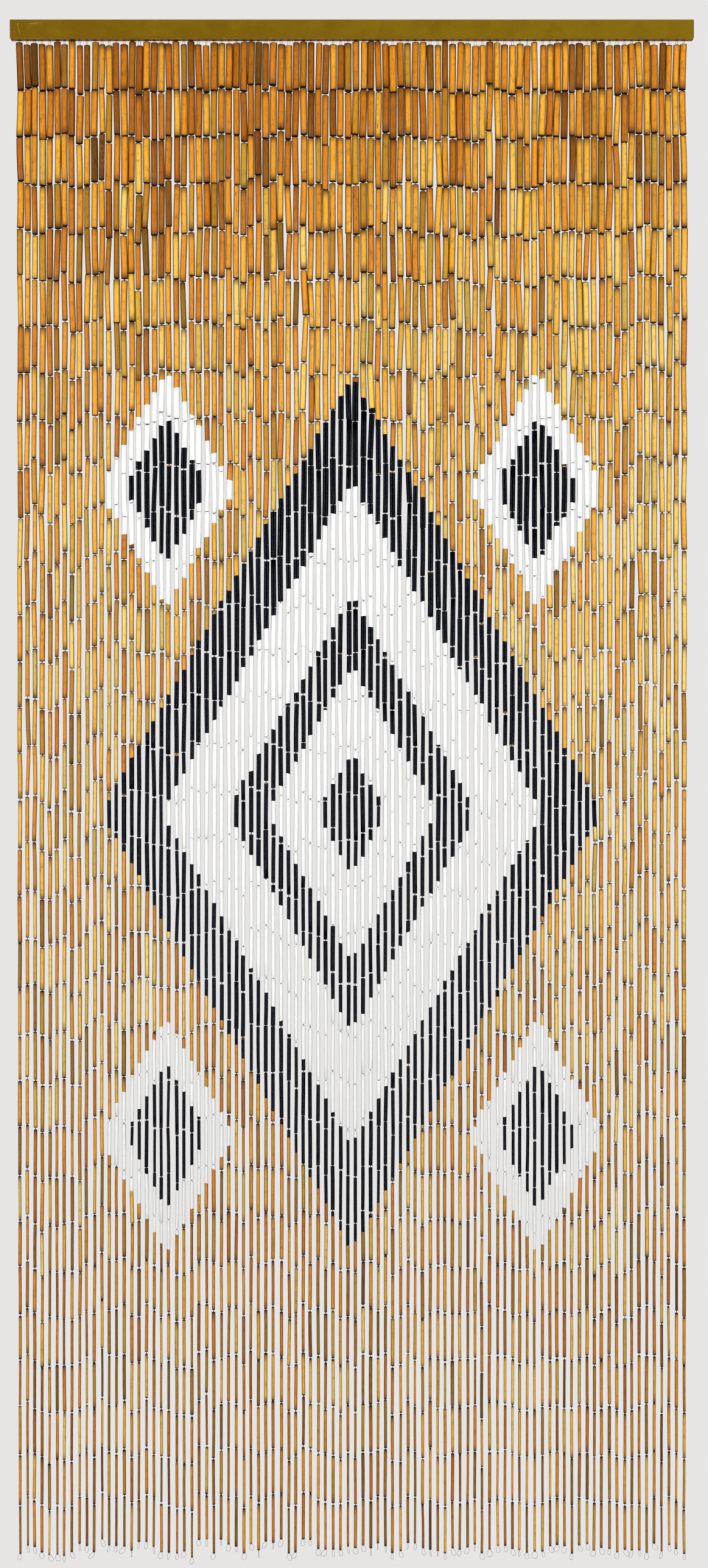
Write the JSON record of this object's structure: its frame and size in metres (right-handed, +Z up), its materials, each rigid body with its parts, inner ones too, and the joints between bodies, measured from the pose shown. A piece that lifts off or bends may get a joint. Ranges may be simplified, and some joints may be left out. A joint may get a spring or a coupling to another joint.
{
  "type": "bamboo door curtain with wooden batten",
  "caption": "Door curtain of bamboo tube strands that hang on wire from a painted wooden batten, tapering towards wire loops at the foot.",
  "frame": {"origin": "centre of the batten's back face, which is fastened to the wall or door frame above the opening", "axes": "+Z up, -Y out of the wall towards the front, +X along the batten"},
  "size_m": [0.9, 0.012, 2.0343],
  "materials": {
    "gold_paint": "satin gold paint on wood",
    "bamboo": "toasted bamboo, varnished",
    "steel_wire": "thin dull steel wire",
    "figure_paint": "satin black and white paint on bamboo"
  },
  "bodies": {
    "root": {"batten": "gold_paint", "strands": "bamboo"}
  },
  "joints": []
}
